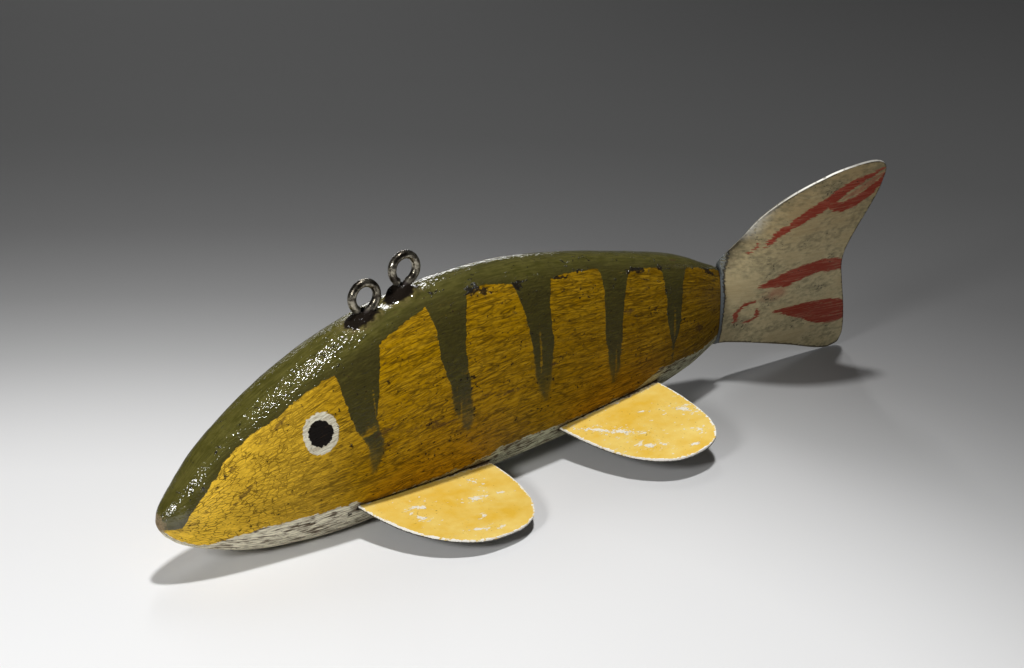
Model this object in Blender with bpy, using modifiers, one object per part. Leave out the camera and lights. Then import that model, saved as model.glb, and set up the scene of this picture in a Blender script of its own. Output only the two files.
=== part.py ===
# Fish decoy: a carved wooden fish with a sheet-metal tail and four side fins set in
# saw slots, and two wire screw eyes in its back. Nose towards -X, tail towards +X, up
# is +Z. The origin lies on the floor, below the middle of the overall length.
# The decoy rests on a flat on its belly and on the lower rear corner of the tail.
import math

import bpy
import bmesh
from mathutils import Vector

MM = 0.001

# Gap between a piece and the slot or hole that it sits in
FIT_GAP = 0.3 * MM

# Body
BODY_LENGTH = 200 * MM
NOSE_X = -127.9 * MM
END_X = NOSE_X + BODY_LENGTH
NOSE_HEIGHT = 17.4 * MM
# Share of the length behind the nose, height of the back, height of the belly, half width
BODY_STATIONS = (
    (0.03, 25.4 * MM, 9.7 * MM, 5.8 * MM),
    (0.08, 34.5 * MM, 5.3 * MM, 9.2 * MM),
    (0.16, 44.5 * MM, 0.6 * MM, 12.0 * MM),
    (0.28, 54.3 * MM, -1.3 * MM, 14.9 * MM),
    (0.42, 60.2 * MM, 0.1 * MM, 15.2 * MM),
    (0.56, 61.2 * MM, 1.7 * MM, 13.6 * MM),
    (0.70, 57.4 * MM, 3.2 * MM, 11.6 * MM),
    (0.84, 51.0 * MM, 6.4 * MM, 9.9 * MM),
    (0.93, 45.6 * MM, 9.9 * MM, 7.8 * MM),
    (1.00, 39.4 * MM, 14.5 * MM, 3.7 * MM),
)
BACK_FULLNESS = 2.25
BACK_FULLNESS_AT_END = 3.4
BELLY_FULLNESS = 2.15
END_FULLNESS_POWER = 6
WIDEST_SHARE = 0.46
END_ROUND = 0.7 * MM
BODY_RINGS = 40
BODY_SIDES = 36
# Above 1 the rings stand closer together towards the nose
RING_CROWDING = 1.6

# Sheet metal of the tail and the fins
SHEET = 0.8 * MM

# Side fins. Each lies in a flat plane that droops outwards and is pitched along the body.
# PLANE_HEIGHT is that plane's height above the floor at the fin's front end, at the
# middle plane of the body. The half oval starts at ROOT and reaches out by DEPTH.
PECTORAL = {
    "name": "pectoral_fin",
    "front_x": NOSE_X + 55.2 * MM,
    "plane_height": 10.5 * MM,
    "droop": math.radians(7.5),
    "pitch": math.radians(-2.8),
    "chord": 47.6 * MM,
    "root": 9.5 * MM,
    "depth": 33.4 * MM,
    "fullness": 2.35,
    "sweep": 0.8 * MM,
    "tang_end": 4.6 * MM,
}
PELVIC = {
    "name": "pelvic_fin",
    "front_x": NOSE_X + 130.2 * MM,
    "plane_height": 9.9 * MM,
    "droop": math.radians(6.0),
    "pitch": math.radians(4.5),
    "chord": 39.3 * MM,
    "root": 7.0 * MM,
    "depth": 36.2 * MM,
    "fullness": 2.5,
    "sweep": 0.3 * MM,
    "tang_end": 3.2 * MM,
}
TANG_INSET = 0.6 * MM
FIN_STEPS = 40
SLOT_REACH = 24 * MM

# Tail, as a side outline (distance behind the body's end, height above the floor).
# The gap in front of it leaves room for the sheet's own thickness where it turns.
TAIL_GAP = 0.6 * MM
TAIL_FRONT_X = END_X + TAIL_GAP
TAIL_FRONT_LOW = 14.3 * MM
TAIL_FRONT_HIGH = 40.0 * MM
TAIL_LEADING_EDGE = (
    (TAIL_GAP, TAIL_FRONT_HIGH),
    (3.5 * MM, 47.0 * MM),
    (6.6 * MM, 57.4 * MM),
    (11.0 * MM, 64.8 * MM),
    (17.4 * MM, 69.8 * MM),
    (23.6 * MM, 72.1 * MM),
    (30.2 * MM, 73.0 * MM),
    (34.6 * MM, 72.0 * MM),
    (36.9 * MM, 69.3 * MM),
)
TAIL_TRAILING_EDGE = (
    (52.3 * MM, 0.3 * MM),
    (55.0 * MM, 0.9 * MM),
    (56.2 * MM, 3.4 * MM),
    (54.0 * MM, 9.2 * MM),
    (49.8 * MM, 17.2 * MM),
    (44.8 * MM, 26.2 * MM),
    (41.0 * MM, 32.6 * MM),
    (38.5 * MM, 38.4 * MM),
    (38.1 * MM, 46.0 * MM),
    (38.3 * MM, 54.0 * MM),
    (38.5 * MM, 61.6 * MM),
    (36.9 * MM, 69.3 * MM),
)
TAIL_LOWER_EDGE = (
    (TAIL_GAP, TAIL_FRONT_LOW),
    (12.4 * MM, 11.4 * MM),
    (23.0 * MM, 8.6 * MM),
    (36.0 * MM, 4.9 * MM),
    (47.0 * MM, 1.4 * MM),
    (52.3 * MM, 0.3 * MM),
)
TAIL_COLUMNS = 22
TAIL_ROWS = 20
TANG_LENGTH = 11 * MM
TANG_FIRST_ROW = 3
TANG_LAST_ROW = 16

# The tail leans over to the left, about a line that runs down from the body's end
LEAN_LINE_HEIGHT = 23.2 * MM
LEAN_LINE_SLOPE = 0.40
LEAN_ABOVE = 0.59
LEAN_BELOW = 0.36
LEAN_BLEND = 6 * MM
TWIST_LENGTH = 5 * MM
TWIST_POWER = 1.1

# Screw eyes. The wire comes up out of the wood, bends off the shank's line below the ring
# and closes the ring almost to the shank again.
EYE_RING_RADIUS = 3.9 * MM
EYE_WIRE_RADIUS = 1.22 * MM
EYE_SHANK_DEPTH = 9 * MM
EYE_NECK = 1.3 * MM
EYE_BEND_START = 1.0 * MM
EYE_BEND_SHARE = 0.35
EYE_LOOP_START = math.radians(-66)
EYE_LOOP_END = math.radians(238)
EYE_STEPS = 30
EYE_HOLE_SIDES = 20
# The wood is sunk under a ring that is screwed right down
EYE_DENT_RADIUS = 3.7 * MM
EYE_DENT_GAP = 0.6 * MM
# Distance behind the nose, place across the body, height of the ring's centre, turn
# about the upright
SCREW_EYES = (
    ("screw_eye_front", 66.4 * MM, -2.0 * MM, 61.9 * MM, math.radians(-5)),
    ("screw_eye_rear", 80.7 * MM, -1.0 * MM, 66.2 * MM, math.radians(-4)),
)


def clear_scene():
    for old in list(bpy.data.objects):
        bpy.data.objects.remove(old, do_unlink=True)


def new_collection(name):
    group = bpy.data.collections.new(name)
    bpy.context.scene.collection.children.link(group)
    return group


def new_material(name, colour, roughness, metallic=0.0):
    material = bpy.data.materials.new(name)
    material.use_nodes = True
    shader = material.node_tree.nodes["Principled BSDF"]
    shader.inputs["Base Color"].default_value = (*colour, 1.0)
    shader.inputs["Roughness"].default_value = roughness
    shader.inputs["Metallic"].default_value = metallic
    return material


def add_mesh_object(name, work, group, material=None):
    mesh = bpy.data.meshes.new(name)
    work.to_mesh(mesh)
    work.free()
    item = bpy.data.objects.new(name, mesh)
    group.objects.link(item)
    if material:
        mesh.materials.append(material)
    return item


def add_box(name, low, high, group):
    work = bmesh.new()
    bmesh.ops.create_cube(work, size=1.0)
    for corner in work.verts:
        for axis in range(3):
            corner.co[axis] = high[axis] if corner.co[axis] > 0 else low[axis]
    box = add_mesh_object(name, work, group)
    mark_cutter(box)
    return box


def mark_cutter(item):
    item.hide_render = True
    item.display_type = "WIRE"


def cut(target, cutter):
    step = target.modifiers.new("cut by " + cutter.name, "BOOLEAN")
    step.operation = "DIFFERENCE"
    step.solver = "EXACT"
    step.object = cutter


def smooth_through(knots, values, at):
    """Cubic curve through (knot, value) pairs, read at one place."""
    last = len(knots) - 1
    at = min(max(at, knots[0]), knots[last])
    i = max(k for k in range(last) if knots[k] <= at)

    def slope(k):
        before, after = max(k - 1, 0), min(k + 1, last)
        return (values[after] - values[before]) / (knots[after] - knots[before])

    span = knots[i + 1] - knots[i]
    t = (at - knots[i]) / span
    return (
        values[i] * (2 * t**3 - 3 * t**2 + 1)
        + values[i + 1] * (3 * t**2 - 2 * t**3)
        + slope(i) * span * (t**3 - 2 * t**2 + t)
        + slope(i + 1) * span * (t**3 - t**2)
    )


def body_station(share):
    """Back height, belly height and half width at a share of the body's length."""
    # The square root of the share as the knot gives the nose a round tip
    knots = [0.0] + [math.sqrt(row[0]) for row in BODY_STATIONS]
    backs = [NOSE_HEIGHT] + [row[1] for row in BODY_STATIONS]
    bellies = [NOSE_HEIGHT] + [row[2] for row in BODY_STATIONS]
    halves = [0.0] + [row[3] for row in BODY_STATIONS]
    at = math.sqrt(share)
    return [smooth_through(knots, column, at) for column in (backs, bellies, halves)]


def rounded(value, fullness):
    return math.copysign(abs(value) ** (2.0 / fullness), value)


def body_ring(share, x, back, belly, half, inset=0.0):
    """One cross-section, a full oval that is widest just below its middle."""
    middle = belly + (back - belly) * WIDEST_SHARE
    change = BACK_FULLNESS_AT_END - BACK_FULLNESS
    back_fullness = BACK_FULLNESS + change * share**END_FULLNESS_POWER
    ring = []
    for k in range(BODY_SIDES):
        angle = 2 * math.pi * (k + 0.5) / BODY_SIDES
        fullness = back_fullness if math.sin(angle) > 0 else BELLY_FULLNESS
        reach = (back if math.sin(angle) > 0 else belly) - middle
        across = rounded(math.cos(angle), fullness) * (half - inset)
        up = rounded(abs(math.sin(angle)), fullness) * (reach - math.copysign(inset, reach))
        ring.append(Vector((x, across, middle + up)))
    return ring


def make_body(group, material):
    work = bmesh.new()
    rings = []
    for k in range(1, BODY_RINGS + 1):
        share = (k / BODY_RINGS) ** RING_CROWDING
        back, belly, half = body_station(share)
        x = NOSE_X + BODY_LENGTH * share
        if k == BODY_RINGS:
            rings.append(body_ring(share, x - END_ROUND, back, belly, half))
            rings.append(body_ring(share, x, back, belly, half, END_ROUND))
        else:
            rings.append(body_ring(share, x, back, belly, half))
    loops = [[work.verts.new(place) for place in ring] for ring in rings]
    nose = work.verts.new((NOSE_X, 0.0, NOSE_HEIGHT))
    for k in range(BODY_SIDES):
        after = (k + 1) % BODY_SIDES
        work.faces.new((nose, loops[0][k], loops[0][after]))
        for front, rear in zip(loops, loops[1:]):
            work.faces.new((front[k], rear[k], rear[after], front[after]))
    work.faces.new(list(reversed(loops[-1])))
    bmesh.ops.recalc_face_normals(work, faces=work.faces)
    body = add_mesh_object("body", work, group, material)
    body.data.shade_smooth()
    body.data.set_sharp_from_angle(angle=math.radians(40))
    return body


def place_fin_plane(item, fin, side):
    item.location = (fin["front_x"], 0.0, fin["plane_height"])
    item.rotation_euler = (-side * fin["droop"], -fin["pitch"], 0.0)


def fin_outline(fin, side):
    """Half oval outside the body and a straight tang inside it, as a flat outline."""
    half = fin["chord"] / 2
    points = [
        (TANG_INSET, fin["tang_end"]),
        (TANG_INSET, fin["root"]),
    ]
    for k in range(FIN_STEPS + 1):
        angle = math.pi * (1 - k / FIN_STEPS)
        out = rounded(math.sin(angle), fin["fullness"])
        along = half + half * rounded(math.cos(angle), fin["fullness"]) + fin["sweep"] * out
        points.append((along, fin["root"] + fin["depth"] * out))
    points.append((fin["chord"] - TANG_INSET, fin["root"]))
    points.append((fin["chord"] - TANG_INSET, fin["tang_end"]))
    return [(along, side * out) for along, out in points]


def make_fin(fin, side, side_name, group, material):
    outline = fin_outline(fin, side)
    curve = bpy.data.curves.new(fin["name"], "CURVE")
    curve.dimensions = "2D"
    curve.fill_mode = "BOTH"
    curve.extrude = SHEET / 2
    spline = curve.splines.new("POLY")
    spline.points.add(len(outline) - 1)
    for point, (along, out) in zip(spline.points, outline):
        point.co = (along, out, 0.0, 1.0)
    spline.use_cyclic_u = True
    curve.materials.append(material)
    item = bpy.data.objects.new(fin["name"] + "_" + side_name, curve)
    group.objects.link(item)
    place_fin_plane(item, fin, side)
    return item


def make_fin_slot(fin, side, side_name, group):
    inner = side * (fin["tang_end"] - FIT_GAP)
    outer = side * SLOT_REACH
    wall = SHEET / 2 + FIT_GAP
    low = (-FIT_GAP, min(inner, outer), -wall)
    high = (fin["chord"] + FIT_GAP, max(inner, outer), wall)
    slot = add_box("slot_" + fin["name"] + "_" + side_name, low, high, group)
    place_fin_plane(slot, fin, side)
    return slot


def edge_point(edge, share):
    """Point on a smooth curve through an edge's points, by share of its length."""
    run = [0.0]
    for before, after in zip(edge, edge[1:]):
        run.append(run[-1] + math.dist(before, after))
    at = share * run[-1]
    return [smooth_through(run, [point[axis] for point in edge], at) for axis in range(2)]


def tail_lean(behind, height):
    """How far the sheet stands to the left of the middle plane."""
    away = behind * math.sin(LEAN_LINE_SLOPE)
    away += (height - LEAN_LINE_HEIGHT) * math.cos(LEAN_LINE_SLOPE)
    mean = (LEAN_ABOVE + LEAN_BELOW) / 2
    change = (LEAN_ABOVE - LEAN_BELOW) / 2
    lean = mean * away + change * (math.hypot(away, LEAN_BLEND) - LEAN_BLEND)
    twist = 1 - math.exp(-((max(behind, 0.0) / TWIST_LENGTH) ** TWIST_POWER))
    return -lean * twist


def tail_place(u, v):
    """Patch between the four edges: u runs to the rear, v runs up."""
    low, high = edge_point(TAIL_LOWER_EDGE, u), edge_point(TAIL_LEADING_EDGE, u)
    rear = edge_point(TAIL_TRAILING_EDGE, v)
    front = (TAIL_GAP, TAIL_FRONT_LOW + (TAIL_FRONT_HIGH - TAIL_FRONT_LOW) * v)
    corners = (TAIL_LOWER_EDGE[0], TAIL_LOWER_EDGE[-1], TAIL_LEADING_EDGE[0], TAIL_LEADING_EDGE[-1])
    place = []
    for axis in range(2):
        between = (1 - v) * low[axis] + v * high[axis] + (1 - u) * front[axis] + u * rear[axis]
        shared = (1 - v) * ((1 - u) * corners[0][axis] + u * corners[1][axis])
        shared += v * ((1 - u) * corners[2][axis] + u * corners[3][axis])
        place.append(between - shared)
    return place


def make_tail(group, material):
    work = bmesh.new()
    grid = []
    for i in range(TAIL_COLUMNS + 1):
        column = []
        for j in range(TAIL_ROWS + 1):
            behind, height = tail_place(i / TAIL_COLUMNS, j / TAIL_ROWS)
            place = (END_X + behind, tail_lean(behind - TAIL_GAP, height), height)
            column.append(work.verts.new(place))
        grid.append(column)
    for left, right in zip(grid, grid[1:]):
        for j in range(TAIL_ROWS):
            work.faces.new((left[j], right[j], right[j + 1], left[j + 1]))
    # The tang runs straight forward from part of the front edge
    rows = range(TANG_FIRST_ROW, TANG_LAST_ROW + 1)
    tang = {j: work.verts.new((TAIL_FRONT_X - TANG_LENGTH, 0.0, grid[0][j].co.z)) for j in rows}
    for j in rows[:-1]:
        work.faces.new((tang[j], grid[0][j], grid[0][j + 1], tang[j + 1]))
    tail = add_mesh_object("tail_fin", work, group, material)
    tail.data.shade_smooth()
    shell = tail.modifiers.new("sheet", "SOLIDIFY")
    shell.thickness = SHEET
    shell.offset = 0.0
    shell.use_rim = True
    return tail


def make_tail_slot(group):
    share_low = TANG_FIRST_ROW / TAIL_ROWS
    share_high = TANG_LAST_ROW / TAIL_ROWS
    rise = TAIL_FRONT_HIGH - TAIL_FRONT_LOW
    wall = SHEET / 2 + FIT_GAP
    low = (
        TAIL_FRONT_X - TANG_LENGTH - FIT_GAP,
        -wall,
        TAIL_FRONT_LOW + rise * share_low - FIT_GAP,
    )
    high = (END_X + TANG_LENGTH, wall, TAIL_FRONT_LOW + rise * share_high + FIT_GAP)
    return add_box("slot_tail", low, high, group)


def screw_eye_path(centre, turn):
    """Shank up from the wood, a short bend, then most of a circle."""
    bottom = -EYE_RING_RADIUS - EYE_NECK
    flat = [(0.0, bottom - EYE_SHANK_DEPTH), (0.0, bottom - EYE_BEND_START), (0.0, bottom)]
    start = (
        EYE_RING_RADIUS * math.cos(EYE_LOOP_START),
        EYE_RING_RADIUS * math.sin(EYE_LOOP_START),
    )
    flat.append((start[0] * EYE_BEND_SHARE, (bottom * 2 + start[1]) / 3))
    for k in range(EYE_STEPS + 1):
        angle = EYE_LOOP_START + (EYE_LOOP_END - EYE_LOOP_START) * k / EYE_STEPS
        flat.append((EYE_RING_RADIUS * math.cos(angle), EYE_RING_RADIUS * math.sin(angle)))
    return [
        (centre[0] + u * math.cos(turn), centre[1] + u * math.sin(turn), centre[2] + w)
        for u, w in flat
    ]


def make_screw_eye(name, centre, turn, group, material):
    path = screw_eye_path(centre, turn)
    curve = bpy.data.curves.new(name, "CURVE")
    curve.dimensions = "3D"
    curve.bevel_depth = EYE_WIRE_RADIUS
    curve.bevel_resolution = 3
    curve.use_fill_caps = True
    spline = curve.splines.new("POLY")
    spline.points.add(len(path) - 1)
    for point, place in zip(spline.points, path):
        point.co = (*place, 1.0)
    curve.materials.append(material)
    item = bpy.data.objects.new(name, curve)
    group.objects.link(item)
    return item


def add_upright_cutter(name, centre, bottom, radius, group):
    """Cylinder from a height inside the wood up to the middle of the ring."""
    work = bmesh.new()
    depth = centre[2] - bottom
    bmesh.ops.create_cone(
        work,
        cap_ends=True,
        segments=EYE_HOLE_SIDES,
        radius1=radius,
        radius2=radius,
        depth=depth,
    )
    cutter = add_mesh_object(name, work, group)
    cutter.location = (centre[0], centre[1], bottom + depth / 2)
    mark_cutter(cutter)
    return cutter


def make_shank_hole(name, centre, group):
    bottom = centre[2] - EYE_RING_RADIUS - EYE_NECK - EYE_SHANK_DEPTH - FIT_GAP
    radius = EYE_WIRE_RADIUS + FIT_GAP
    return add_upright_cutter("hole_" + name, centre, bottom, radius, group)


def make_ring_dent(name, centre, group):
    bottom = centre[2] - EYE_RING_RADIUS - EYE_WIRE_RADIUS - EYE_DENT_GAP
    return add_upright_cutter("dent_" + name, centre, bottom, EYE_DENT_RADIUS, group)


def make_belly_cutter(group):
    depth = 10 * MM
    low = (NOSE_X - depth, -depth * 3, -depth)
    high = (END_X + depth, depth * 3, 0.0)
    return add_box("belly_flat", low, high, group)


def main():
    clear_scene()
    parts = new_collection("fish_decoy")
    cutters = new_collection("cutters")

    painted_wood = new_material("painted wood", (0.55, 0.30, 0.02), 0.45)
    painted_tail = new_material("off-white painted sheet", (0.38, 0.33, 0.22), 0.55)
    painted_fin = new_material("yellow painted sheet", (0.78, 0.52, 0.12), 0.50)
    steel_wire = new_material("steel wire", (0.25, 0.23, 0.20), 0.35, 1.0)

    body = make_body(parts, painted_wood)
    cut(body, make_belly_cutter(cutters))

    for fin in (PECTORAL, PELVIC):
        for side, side_name in ((-1, "left"), (1, "right")):
            make_fin(fin, side, side_name, parts, painted_fin)
            cut(body, make_fin_slot(fin, side, side_name, cutters))

    make_tail(parts, painted_tail)
    cut(body, make_tail_slot(cutters))

    for name, behind_nose, across, height, turn in SCREW_EYES:
        centre = (NOSE_X + behind_nose, across, height)
        make_screw_eye(name, centre, turn, parts, steel_wire)
        cut(body, make_shank_hole(name, centre, cutters))
        cut(body, make_ring_dent(name, centre, cutters))


main()
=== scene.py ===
# Looks of the fish decoy: a carved and painted wooden body, painted sheet-metal fins
# and tail, and two wire screw eyes. Lengths in the dictionaries are in millimetres.
import math
from functools import partial

import bpy
import numpy as np
from mathutils import Euler, Matrix, Vector
from mathutils.kdtree import KDTree


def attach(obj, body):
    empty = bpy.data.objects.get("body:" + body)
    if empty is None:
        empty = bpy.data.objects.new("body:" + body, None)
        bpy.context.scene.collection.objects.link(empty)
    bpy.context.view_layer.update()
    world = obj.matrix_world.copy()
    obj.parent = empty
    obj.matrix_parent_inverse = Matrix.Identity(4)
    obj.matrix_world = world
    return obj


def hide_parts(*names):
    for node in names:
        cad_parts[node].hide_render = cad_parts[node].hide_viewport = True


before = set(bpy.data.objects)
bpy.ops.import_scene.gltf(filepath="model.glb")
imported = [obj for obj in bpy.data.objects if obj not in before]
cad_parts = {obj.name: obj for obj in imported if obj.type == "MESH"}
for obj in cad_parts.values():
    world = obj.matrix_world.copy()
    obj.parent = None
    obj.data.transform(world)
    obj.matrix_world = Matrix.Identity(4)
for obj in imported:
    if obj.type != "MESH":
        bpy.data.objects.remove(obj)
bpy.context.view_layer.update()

mm = 0.001


# Shared helpers


def deselectAll():
    if bpy.context.object and bpy.context.object.mode != "OBJECT":
        bpy.ops.object.mode_set(mode="OBJECT")
    bpy.ops.object.select_all(action="DESELECT")


def useOnly(piece):
    deselectAll()
    piece.select_set(True)
    bpy.context.view_layer.objects.active = piece


def applyModifiers(piece):
    useOnly(piece)
    for step in list(piece.modifiers):
        bpy.ops.object.modifier_apply(modifier=step.name)


def addModifier(piece, name, kind, **settings):
    step = piece.modifiers.new(name, kind)
    for key, value in settings.items():
        setattr(step, key, value)


def newObject(name, data):
    item = bpy.data.objects.new(name, data)
    bpy.context.scene.collection.objects.link(item)
    return item


def editAll():
    bpy.ops.object.mode_set(mode="EDIT")
    bpy.ops.mesh.select_all(action="SELECT")


def leaveEdit():
    bpy.ops.object.mode_set(mode="OBJECT")


# joins corners closer than the distance in mm, and turns the faces outwards
def weld(piece, distance):
    useOnly(piece)
    editAll()
    bpy.ops.mesh.remove_doubles(threshold=distance * mm)
    bpy.ops.mesh.normals_make_consistent(inside=False)
    leaveEdit()


# the place goes into the mesh, so the object sits at the origin unturned
def settlePiece(piece, name, nodeName, material, smoothAngle):
    useOnly(piece)
    bpy.ops.object.shade_smooth_by_angle(angle=math.radians(smoothAngle))
    bpy.ops.object.transform_apply(location=True, rotation=True, scale=True)
    piece.name = name
    piece.data.name = name
    piece.data.materials.clear()
    piece.data.materials.append(material)
    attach(piece, "root")
    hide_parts(nodeName)


def readPlaces(piece):
    flat = np.empty(len(piece.data.vertices) * 3)
    piece.data.vertices.foreach_get("co", flat)
    return flat.reshape(-1, 3) / mm


def readNormals(piece):
    flat = np.empty(len(piece.data.vertices) * 3)
    piece.data.vertices.foreach_get("normal", flat)
    return flat.reshape(-1, 3)


def writePlaces(piece, places):
    piece.data.vertices.foreach_set("co", (places * mm).ravel())
    piece.data.update()


def writeAttribute(piece, name, values):
    layer = piece.data.attributes.new(name, "FLOAT", "POINT")
    layer.data.foreach_set("value", np.asarray(values, np.float32))


lumpTable = np.random.default_rng(11).random((32, 32, 32))


# smooth lumps between -1 and 1, with the lump length along x, y and z in mm
def lumps(places, size, seed):
    at = places / np.array(size, float) + seed * 7.31
    cell = np.floor(at).astype(int)
    t = at - cell
    t = t * t * (3 - 2 * t)
    total = np.zeros(len(places))
    for corner in range(8):
        step = np.array([corner & 1, corner >> 1 & 1, corner >> 2 & 1])
        weight = np.prod(np.where(step == 1, t, 1 - t), axis=1)
        index = (cell + step) % 32
        total += weight * lumpTable[index[:, 0], index[:, 1], index[:, 2]]
    return total * 2 - 1


def smoothStep(low, high, values):
    t = np.clip((values - low) / (high - low), 0, 1)
    return t * t * (3 - 2 * t)


# cubic curve through knots, with one column of values per quantity
def smoothThrough(knots, rows, at):
    knots, rows = np.array(knots), np.array(rows, float)
    before = np.maximum(np.arange(len(knots)) - 1, 0)
    after = np.minimum(np.arange(len(knots)) + 1, len(knots) - 1)
    slopes = (rows[after] - rows[before]) / (knots[after] - knots[before])[:, None]
    at = np.clip(at, knots[0], knots[-1])
    i = np.clip(np.searchsorted(knots, at, side="right") - 1, 0, len(knots) - 2)
    span = (knots[i + 1] - knots[i])[:, None]
    t = (at[:, None] - knots[i][:, None]) / span
    return (
        rows[i] * (2 * t**3 - 3 * t**2 + 1)
        + rows[i + 1] * (3 * t**2 - 2 * t**3)
        + slopes[i] * span * (t**3 - 2 * t**2 + t)
        + slopes[i + 1] * span * (t**3 - t**2)
    )


def rounded(values, fullness):
    return np.sign(values) * np.abs(values) ** (2.0 / fullness)


# how far points of a plane are inside a stroke of changing width; below 0 is outside
def insideStroke(points, stroke):
    best = np.full(len(points), -99.0)
    for (x0, y0, w0), (x1, y1, w1) in zip(stroke, stroke[1:]):
        start, run = np.array([x0, y0]), np.array([x1 - x0, y1 - y0])
        t = np.clip(((points - start) @ run) / (run @ run), 0, 1)
        gap = np.linalg.norm(points - start - t[:, None] * run, axis=1)
        best = np.maximum(best, w0 + (w1 - w0) * t - gap)
    return best


# Material helpers


def linearColour(hexText):
    parts = [int(hexText[i : i + 2], 16) / 255 for i in (1, 3, 5)]
    return (*[p / 12.92 if p <= 0.04045 else ((p + 0.055) / 1.055) ** 2.4 for p in parts], 1.0)


# short names for the kinds of node that come back often, with their settings
presets = {
    "plus": ("Math", {"operation": "ADD"}),
    "times": ("Math", {"operation": "MULTIPLY"}),
    "timesPlus": ("Math", {"operation": "MULTIPLY_ADD"}),
    "larger": ("Math", {"operation": "MAXIMUM"}),
    "ramp": ("MapRange", {"interpolation_type": "SMOOTHSTEP"}),
    "blend": ("Mix", {"data_type": "RGBA"}),
}


# adds one node with its settings; the inputs, in order, are values or links
def addNode(tree, kind, *inputs, output=0, **settings):
    kind, shared = presets.get(kind, (kind, {}))
    node = tree.nodes.new("ShaderNode" + kind)
    for name, value in {**shared, **settings}.items():
        setattr(node, name, value)
    sockets = [socket for socket in node.inputs if socket.enabled]
    for socket, value in zip(sockets, inputs):
        if isinstance(value, bpy.types.NodeSocket):
            tree.links.new(value, socket)
        else:
            socket.default_value = value
    return [socket for socket in node.outputs if socket.enabled][output]


# a new material, its linear colours, and the attributes that it reads
def startMaterial(name, hexes, gloss, attributes):
    material = bpy.data.materials.new(name)
    material.use_nodes = True
    tree = material.node_tree
    shader = tree.nodes["Principled BSDF"]
    for socketName, value in gloss.items():
        shader.inputs[socketName].default_value = value
    look = {key: linearColour(value) for key, value in hexes.items()}
    node = partial(addNode, tree)
    # object places in millimetres
    place = addNode(tree, "TexCoord", output=3)
    place = addNode(tree, "Mapping", place, (0, 0, 0), (0, 0, 0), (1000, 1000, 1000))
    at = {key: node("Attribute", attribute_name=key, output=2) for key in attributes}
    return material, tree, shader, place, look, node, at, partial(tornMask, tree)


# a level that noises push about, each with its weight, as a soft-edged mask
def tornMask(tree, level, noises, *limits):
    for noise, weight in noises:
        level = addNode(tree, "timesPlus", noise, weight, level)
    return addNode(tree, "ramp", level, *limits)


# speckle with its size along x, y and z in mm, centred on 0
def speckle(tree, place, size, detail=3.0, offset=0.0, distortion=0.0):
    scale = tuple(1.0 / s for s in size)
    shift = (offset, offset * 0.7, offset * 1.3)
    moved = addNode(tree, "Mapping", place, shift, (0, 0, 0), scale)
    noise = addNode(tree, "TexNoise", moved, 1.0, detail, 0.5, 2.0, distortion)
    return addNode(tree, "Math", noise, 0.5, operation="SUBTRACT")


# crackle: 1 on a crack and 0 on the flakes, with a flake's size in mm
def crackle(tree, place, size, width, offset=0.0, wander=0.5):
    scale = tuple(1.0 / s for s in size)
    moved = addNode(tree, "Mapping", place, (offset, offset, offset), (0, 0, 0), scale)
    wobble = addNode(tree, "TexNoise", moved, 1.7, 2.0, output=1)
    push = addNode(tree, "VectorMath", wobble, (wander, wander, wander), operation="MULTIPLY")
    moved = addNode(tree, "VectorMath", moved, push, operation="ADD")
    edge = addNode(tree, "TexVoronoi", moved, 1.0, feature="DISTANCE_TO_EDGE")
    return addNode(tree, "ramp", edge, 0.0, width, 1.0, 0.0)


# thin lines that wander with the grain: 1 on a line and 0 between lines
def grainLines(tree, place, size, width, offset=0.0):
    level = speckle(tree, place, size, 1.0, offset)
    level = addNode(tree, "Math", level, operation="ABSOLUTE")
    return addNode(tree, "ramp", level, 0.0, width, 1.0, 0.0)


# Wooden body

bodyShape = {
    "noseX": -127.9,
    "length": 200.0,
    "noseHeight": 17.4,
    # share of the length, back height, belly height, half width
    "stations": [
        (0.03, 25.4, 9.7, 5.8),
        (0.08, 34.5, 5.3, 9.2),
        (0.16, 44.5, 0.6, 12.0),
        (0.28, 54.3, -1.3, 14.9),
        (0.42, 60.2, 0.1, 15.2),
        (0.56, 61.2, 1.7, 13.6),
        (0.70, 57.4, 3.2, 11.6),
        (0.84, 51.0, 6.4, 9.9),
        (0.93, 45.6, 9.9, 7.8),
        (1.00, 39.4, 14.5, 3.7),
    ],
    "widestShare": 0.46,
    "backFullness": 2.25,
    "backFullnessAtEnd": 3.4,
    "bellyFullness": 2.15,
    "endRound": 0.7,
    "rings": 84,
    "sides": 56,
    "capSteps": (0.88, 0.74, 0.6, 0.46, 0.32, 0.16),
    "sawGap": 0.3,
    "tailSlot": {"depth": 11.0, "low": 17.85, "high": 35.2},
    "finSlotReach": 24.0,
}
endX = bodyShape["noseX"] + bodyShape["length"]

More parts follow.
